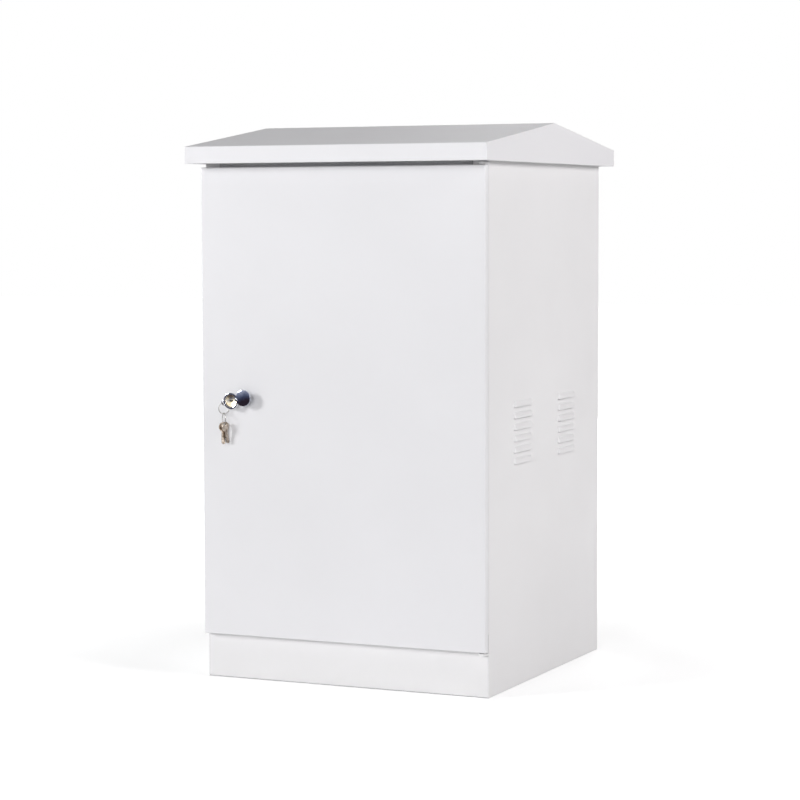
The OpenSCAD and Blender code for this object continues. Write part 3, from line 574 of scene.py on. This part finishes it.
def grommetShape(low, high):
    rim = (high.x - low.x) / 2
    top, base = high.z - low.z, 0.0
    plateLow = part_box("gland_plate")[0].z - low.z
    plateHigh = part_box("gland_plate")[1].z - low.z
    hole, groove, lip, slant = (grommetLook[key] for key in ("hole", "groove", "lip", "slant"))
    profile = [(hole, base + lip), (hole + lip * 0.3, base + lip * 0.3), (hole + lip, base), (rim - lip * 1.6, base),
               (rim - lip * 0.5, base + lip * 0.4), (rim, base + lip * 1.4), (rim, plateLow - slant),
               (groove, plateLow), (groove, plateHigh), (rim, plateHigh + slant), (rim, top - lip * 1.4),
               (rim - lip * 0.5, top - lip * 0.4), (rim - lip * 1.6, top), (hole + lip, top),
               (hole + lip * 0.3, top - lip * 0.3), (hole, top - lip)]
    return lathe(profile, 72)


for side in ("left", "middle", "right"):
    low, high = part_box("grommet_" + side)
    addPiece("grommet" + side.title(),
             placed(grommetShape(low, high), Matrix.Translation(((low.x + high.x) / 2, (low.y + high.y) / 2, low.z))),
             rubber, "cabinet", ["grommet_" + side], 50)


# open-cell filter mats, soft at the edges
matLook = {"inset": 0.4 * mm, "edge": 2.2 * mm, "pull": 0.45, "wave": 0.7 * mm, "waveSize": 26.0, "waveThrough": 8.0,
           "waveStart": 3.1, "cuts": 22}


def filterMat(name, node):
    low, high = corners(node, (matLook["inset"],) * 3)
    size, centre = high - low, (low + high) / 2
    form = bmesh.new()
    bmesh.ops.create_cube(form, size=1.0)
    bmesh.ops.subdivide_edges(form, edges=form.edges[:], cuts=matLook["cuts"], use_grid_fill=True)
    for vert in form.verts:
        at = Vector((vert.co.x * size.x, vert.co.y * size.y, vert.co.z * size.z))
        half = size / 2
        near = [half[k] - abs(at[k]) for k in range(3)]
        # corners pulled in, then a slow waviness over the faces
        for k in range(3):
            others = sorted(near[j] for j in range(3) if j != k)
            if near[k] < 1e-6 and others[0] < matLook["edge"]:
                at[k] -= math.copysign(matLook["edge"] - others[0], at[k]) * matLook["pull"]
        drift = noise.noise(Vector((at.y * matLook["waveSize"], at.z * matLook["waveSize"],
                                    at.x * matLook["waveThrough"] + matLook["waveStart"])))
        at.x -= math.copysign(matLook["wave"], at.x) * (0.5 + 0.5 * drift)
        vert.co = at + centre
    points = [tuple(v.co) for v in form.verts]
    form.verts.index_update()
    faces = [tuple(v.index for v in face.verts) for face in form.faces]
    form.free()
    piece = addPiece(name, (points, faces), foam, "cabinet", [node], 80)


filterMat("filterMatLeft", "filter_pad_left")
filterMat("filterMatRight", "filter_pad_right")
print("grommets and filter mats built")


# dust cap rivet, domed
rivetLook = {"head": 2.3 * mm, "tall": 0.8 * mm, "rim": 0.35, "shank": 1.4 * mm, "tip": 0.02 * mm, "steps": 7}
rivetLow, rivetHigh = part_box("cap_rivet")
rivetAt = (rivetLow + rivetHigh) / 2
domed = [(rivetLook["tip"], rivetLook["tall"])]
for step in range(1, rivetLook["steps"] + 1):
    lean = math.radians(90 * step / rivetLook["steps"])
    rise = rivetLook["rim"] + (1 - rivetLook["rim"]) * math.cos(lean)
    domed.append((rivetLook["head"] * math.sin(lean), rivetLook["tall"] * rise))
shankEnd = rivetLow.y - rivetHigh.y + rivetLook["tall"]
domed += [(rivetLook["head"], 0), (rivetLook["shank"], 0), (rivetLook["shank"], shankEnd)]
headBack = alongY((rivetAt.x, rivetLow.y + rivetLook["tall"], rivetAt.z))
addPiece("capRivet", placed(lathe(domed, 32, loop=False), headBack), chrome, "door", ["cap_rivet"])


# a split ring of two turns, and a plain wire link
ringLook = {"turn": 45.0, "radius": 10.5 * mm, "flat": 0.62 * mm, "deep": 0.75 * mm, "steps": 144,
            "start": 205.0, "stepAt": 0.44, "stepLong": 0.12, "apart": 1.352, "round": 0.6, "half": 0.62}
linkLook = {"turn": 135.0, "radius": 11.0 * mm, "wire": 0.7 * mm, "gap": 2.2, "steps": 96,
            "start": 65.0, "endShare": 0.75, "sides": 14}


def hungFrame(node, turn):
    low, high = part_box(node)
    return Matrix.Translation((low + high) / 2) @ Matrix.Rotation(math.radians(turn), 4, "Z")


def splitRing(look):
    soft = look["round"]
    section = ((1, soft), (soft, 1), (-soft, 1), (-1, soft), (-1, -soft), (-soft, -1), (soft, -1), (1, -soft))
    rings = []
    for step in range(look["steps"] + 1):
        part = step / look["steps"]
        angle = 4 * math.pi * part + math.radians(look["start"])
        lift = min(1.0, max(0.0, (part - look["stepAt"]) / look["stepLong"]))      # steps over to the second turn
        across = (lift * lift * (3 - 2 * lift) - 0.5) * look["apart"] * look["flat"]
        out = Vector((math.cos(angle), 0, math.sin(angle)))
        thick = look["flat"] * look["half"]
        rings.append([out * (look["radius"] + u * look["deep"]) + Vector((0, across + v * thick, 0))
                      for u, v in section])
    return skin(rings)


def wireLink(look):
    gap, sides = math.radians(look["gap"]), look["sides"]
    rings = []
    for step in range(look["steps"] + 1):
        angle = math.radians(look["start"]) + gap / 2 + (2 * math.pi - gap) * step / look["steps"]
        out = Vector((math.cos(angle), 0, math.sin(angle)))
        wire = look["wire"] * (look["endShare"] if step in (0, look["steps"]) else 1.0)
        rings.append([out * (look["radius"] + wire * math.cos(2 * math.pi * i / sides))
                      + Vector((0, wire * math.sin(2 * math.pi * i / sides), 0)) for i in range(sides)])
    return skin(rings)


addPiece("splitRing", placed(splitRing(ringLook), hungFrame("key_ring", ringLook["turn"])),
         ringSteel, "keys", ["key_ring"], 40)
addPiece("wireLink", placed(wireLink(linkLook), hungFrame("key_link", linkLook["turn"])),
         ringSteel, "keys", ["key_link"], 40)


# keys: a pressed bow with a raised border, and a blade with milled grooves and cut teeth
keyLook = {"bow": 9.5 * mm, "hole": 3 * mm, "thick": 1.8 * mm, "blade": 26 * mm, "wide": 8 * mm, "tooth": 1.4 * mm,
           "above": 5.3 * mm, "border": 0.30 * mm, "groove": 0.48 * mm, "rows": 90, "tip": 3 * mm,
           "chamfer": 0.22 * mm, "teeth": 4, "firstTooth": 6 * mm, "toothPitch": 4.2 * mm, "toothHalf": 1.6 * mm,
           "frontGroove": (-1.7 * mm, -1.4 * mm, -0.2 * mm, 0.1 * mm),
           "rearGroove": (1.5 * mm, 1.2 * mm, 0.5 * mm, 0.2 * mm)}


def keyBow(look, count=64):
    half = look["thick"] / 2
    pressed = half - look["border"]
    rows = [(0.00, half * 0.55), (0.05, half * 0.92), (0.10, half), (0.26, half), (0.34, pressed),
            (0.70, pressed), (0.77, half), (0.95, half), (0.985, half * 0.92), (1.00, half * 0.55)]
    rows = [(part, -high) for part, high in rows] + [(part, high) for part, high in reversed(rows)]
    rings = []
    for part, high in rows:
        ring = []
        for i in range(count):
            angle = 2 * math.pi * i / count
            radius = look["hole"] + (look["bow"] - look["hole"]) * part
            ring.append((radius * math.cos(angle), high, radius * math.sin(angle) - look["above"] * part))
        rings.append(ring)
    return skin(rings, loop=True)


def keyBlade(look):
    half, wide, chamfer = look["thick"] / 2, look["wide"], look["chamfer"]
    floor = half - look["groove"]
    top = -look["above"] - look["bow"] * 0.9
    tip = -look["above"] - look["bow"] * 0.8 - look["blade"]
    f, r = look["frontGroove"], look["rearGroove"]
    rings = []
    for row in range(look["rows"] + 1):
        height = top + (tip - top) * row / look["rows"]
        fromTip = height - tip
        reach = wide / 2 - max(0.0, look["tip"] - fromTip) * (wide / 4) / look["tip"]
        left, right = -reach, reach
        for i in range(look["teeth"]):
            away = abs(fromTip - (look["firstTooth"] + i * look["toothPitch"]))
            cut = look["tooth"] * (1 + i % 2) / 2 * max(0.0, 1 - away / look["toothHalf"])
            right = min(right, reach - cut)
        front = [(left, chamfer - half), (left + chamfer, -half), (f[0], -half), (f[1], -floor), (f[2], -floor),
                 (f[3], -half), (right - chamfer, -half), (right, chamfer - half)]
        rear = [(right, half - chamfer), (right - chamfer, half), (r[0], half), (r[1], floor), (r[2], floor),
                (r[3], half), (left + chamfer, half), (left, half - chamfer)]
        rings.append([(x, y, height) for x, y in front + rear])
    return skin(rings)


def keyFrame(node, turn, lean):
    # the hole's place from the node's box: its low corner is the bow's left side, its top the bow's top
    low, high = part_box(node)
    spin, tilt, half = math.radians(turn), math.radians(lean), keyLook["thick"] / 2
    left = keyLook["above"] * math.sin(tilt) - keyLook["bow"]
    x = low.x - left * math.cos(spin) + half * math.sin(spin)
    y = low.y - left * math.sin(spin) + half * math.cos(spin)
    z = high.z - keyLook["bow"] + keyLook["above"] * math.cos(tilt)
    return Matrix.Translation((x, y, z)) @ Matrix.Rotation(spin, 4, "Z") @ Matrix.Rotation(-tilt, 4, "Y")


# node, turn about the upright and lean in its own plane, as they hang in the CAD
hungKeys = {"keyFront": ("key_front", 45.0, 0.0), "keySide": ("key_side", 75.0, 13.0)}
for name, (node, turn, lean) in hungKeys.items():
    addPiece(name, placed(joined([keyBow(keyLook), keyBlade(keyLook)]), keyFrame(node, turn, lean)),
             nickel, "keys", [node], 30)
print("rings and keys built")


# floor and studio
studio = {"floorColour": (0.80, 0.80, 0.80), "floorGlow": 0.40,
          "nearFloor": 0.55, "farFloor": 1.7, "ambient": (0.97, 0.985, 1.0), "ambientLevel": 0.1, "floorSize": 40.0}


def seenRays(tree):
    # camera, glossy and transmission rays see the white studio
    path = addNode(tree, "LightPath").outputs
    some = addNode(tree, "Math", {0: path["Is Camera Ray"], 1: path["Is Glossy Ray"]}, operation="MAXIMUM").outputs[0]
    return addNode(tree, "Math", {0: some, 1: path["Is Transmission Ray"]}, operation="MAXIMUM").outputs[0]


def bareTree(name):
    finish = bpy.data.materials.new(name)
    finish.use_nodes = True
    finish.node_tree.nodes.clear()
    return finish, finish.node_tree


def addStage(name, points, faces, finish):
    mesh = bpy.data.meshes.new(name)
    mesh.from_pydata(points, [], faces)
    mesh.materials.append(finish)
    piece = bpy.data.objects.new(name, mesh)
    bpy.context.scene.collection.objects.link(piece)
    return piece


def floorFinish(look):
    finish, tree = bareTree("pale studio floor")
    lit = addNode(tree, "BsdfDiffuse", {"Color": (*look["floorColour"], 1)}).outputs[0]
    away = addNode(tree, "VectorMath", {0: placeOf(tree)}, operation="LENGTH").outputs["Value"]
    fade = spread(tree, away, look["floorGlow"], 1.0, look["nearFloor"], look["farFloor"])
    glow = addNode(tree, "Emission", {"Color": (1, 1, 1, 1), "Strength": fade}).outputs[0]
    white = addNode(tree, "AddShader", {0: lit, 1: glow}).outputs[0]
    both = addNode(tree, "MixShader", {0: seenRays(tree), 1: lit, 2: white}).outputs[0]
    addNode(tree, "OutputMaterial", {"Surface": both})
    return finish


half = studio["floorSize"] / 2
floorCorners = [(-half, -half, 0), (half, -half, 0), (half, half, 0), (-half, half, 0)]
addStage("studioFloor", floorCorners, [(0, 1, 2, 3)], floorFinish(studio))

# glowing card out of the camera's view, seen only in the polished metal; its colours and streaks are painted
# reflections
flagLook = {"low": (0.045, 0.030, 0.040), "middle": (0.085, 0.095, 0.150), "high": (0.22, 0.24, 0.32),
            "fade": (0.60, 0.62, 0.68), "left": (-2.6, -1.5), "right": (0.15, -3.0), "leftTop": 0.90,
            "rightTop": 1.74, "matDepth": 1.75, "lift": 0.005, "soft": 0.80, "folds": 2.6, "streakDepth": 0.5}


def flagFinish(look):
    finish, tree = bareTree("glowing card with painted reflections")
    parts = addNode(tree, "SeparateXYZ", {0: placeOf(tree)}).outputs
    rise = (look["rightTop"] - look["leftTop"]) / (look["right"][0] - look["left"][0])
    edgeLine = addNode(tree, "Math", {0: parts[0], 1: rise, 2: look["leftTop"] - rise * look["left"][0]},
                       operation="MULTIPLY_ADD").outputs[0]
    below = addNode(tree, "Math", {0: edgeLine, 1: parts[2]}, operation="SUBTRACT").outputs[0]
    folds = grain(tree, placeOf(tree, (1, 1, 0.35)), look["folds"], 3.0)
    hang = addNode(tree, "Math", {0: folds, 1: look["streakDepth"], 2: below}, operation="MULTIPLY_ADD").outputs[0]
    start = look["streakDepth"] / 2
    shade = tints(tree, spread(tree, hang, 1.0, 0.0, start, start + look["soft"] * 2),
                  [(0.20, look["low"]), (0.46, look["middle"]), (0.66, look["high"]), (1.0, look["fade"])])
    # the card glows with these colours though it is no lamp: painted reflection, dark below and light above
    cardGlow = addNode(tree, "Emission", {"Color": shade, "Strength": 1.0}).outputs[0]
    addNode(tree, "OutputMaterial", {"Surface": cardGlow})
    return finish


def flagPoints(look):
    left, right = Vector((*look["left"], 0)), Vector((*look["right"], 0))
    inward = Vector((left.y - right.y, right.x - left.x, 0)).normalized() * look["matDepth"]
    points = []
    for foot, top in ((left, look["leftTop"]), (right, look["rightTop"])):
        points += [foot + inward + Vector((0, 0, look["lift"])), foot + Vector((0, 0, look["lift"])),
                   foot + Vector((0, 0, top))]
    return [tuple(point) for point in points]


reflectionCard = addStage("reflectionCard", flagPoints(flagLook), [(0, 1, 4, 3), (1, 2, 5, 4)], flagFinish(flagLook))
reflectionCard.visible_camera = False
reflectionCard.visible_diffuse = False
reflectionCard.visible_shadow = False

world = bpy.data.worlds.new("white studio")
world.use_nodes = True
bpy.context.scene.world = world
worldTree = world.node_tree
worldTree.nodes.clear()
soft = addNode(worldTree, "Background",
               {"Color": (*studio["ambient"], 1), "Strength": studio["ambientLevel"]}).outputs[0]
plain = addNode(worldTree, "Background", {"Color": (1, 1, 1, 1), "Strength": 1.0}).outputs[0]
air = addNode(worldTree, "MixShader", {0: seenRays(worldTree), 1: soft, 2: plain}).outputs[0]
addNode(worldTree, "OutputWorld", {"Surface": air})

# lamps: place, aim, size in metres, watts, colour
lamps = {
    "keyLamp": ((-6.1, -6.2, 3.3), (0, -0.2, 0.40), 2.3, 392.0, (1.0, 1.0, 1.0)),
    "frontLamp": ((0.5, -10.0, 2.6), (0, -0.3, 0.40), 3.2, 299.0, (0.99, 0.995, 1.0)),
    "sideLamp": ((6.2, -0.5, 3.6), (0.3, 0.0, 0.45), 2.4, 253.0, (1.0, 0.983, 0.983)),
    "backLamp": ((-1.2, 6.0, 1.7), (0, 0.3, 0.55), 2.6, 200.0, (1.0, 1.0, 1.0)),
    "leftLamp": ((-6.0, 0.9, 2.0), (-0.3, 0.0, 0.50), 2.4, 62.0, (1.0, 1.0, 1.0)),
}
for name, (place, aim, size, watts, colour) in lamps.items():
    light = bpy.data.lights.new(name, "AREA")
    light.shape = "SQUARE"
    light.size = size
    light.energy = watts
    light.color = colour
    lamp = bpy.data.objects.new(name, light)
    lamp.location = place
    lamp.rotation_euler = (Vector(aim) - Vector(place)).to_track_quat("-Z", "Y").to_euler()
    bpy.context.scene.collection.objects.link(lamp)
print("studio set with", len(lamps), "lamps")

# camera solved from the photograph's corners
lens = {"place": (2.10048, -4.64837, 0.90755), "turn": 24.4873, "down": 4.1493, "roll": -0.1349, "focal": 113.44}
cameraData = bpy.data.cameras.new("photoCamera")
cameraData.sensor_width = 36.0
cameraData.sensor_fit = "HORIZONTAL"
cameraData.lens = lens["focal"]
camera = bpy.data.objects.new("photoCamera", cameraData)
camera.matrix_world = (Matrix.Translation(lens["place"]) @ Matrix.Rotation(math.radians(lens["turn"]), 4, "Z")
                       @ Matrix.Rotation(math.radians(90 - lens["down"]), 4, "X")
                       @ Matrix.Rotation(math.radians(lens["roll"]), 4, "Z"))
bpy.context.scene.collection.objects.link(camera)
bpy.context.scene.camera = camera
bpy.context.scene.view_settings.view_transform = "Standard"

bpy.context.view_layer.update()
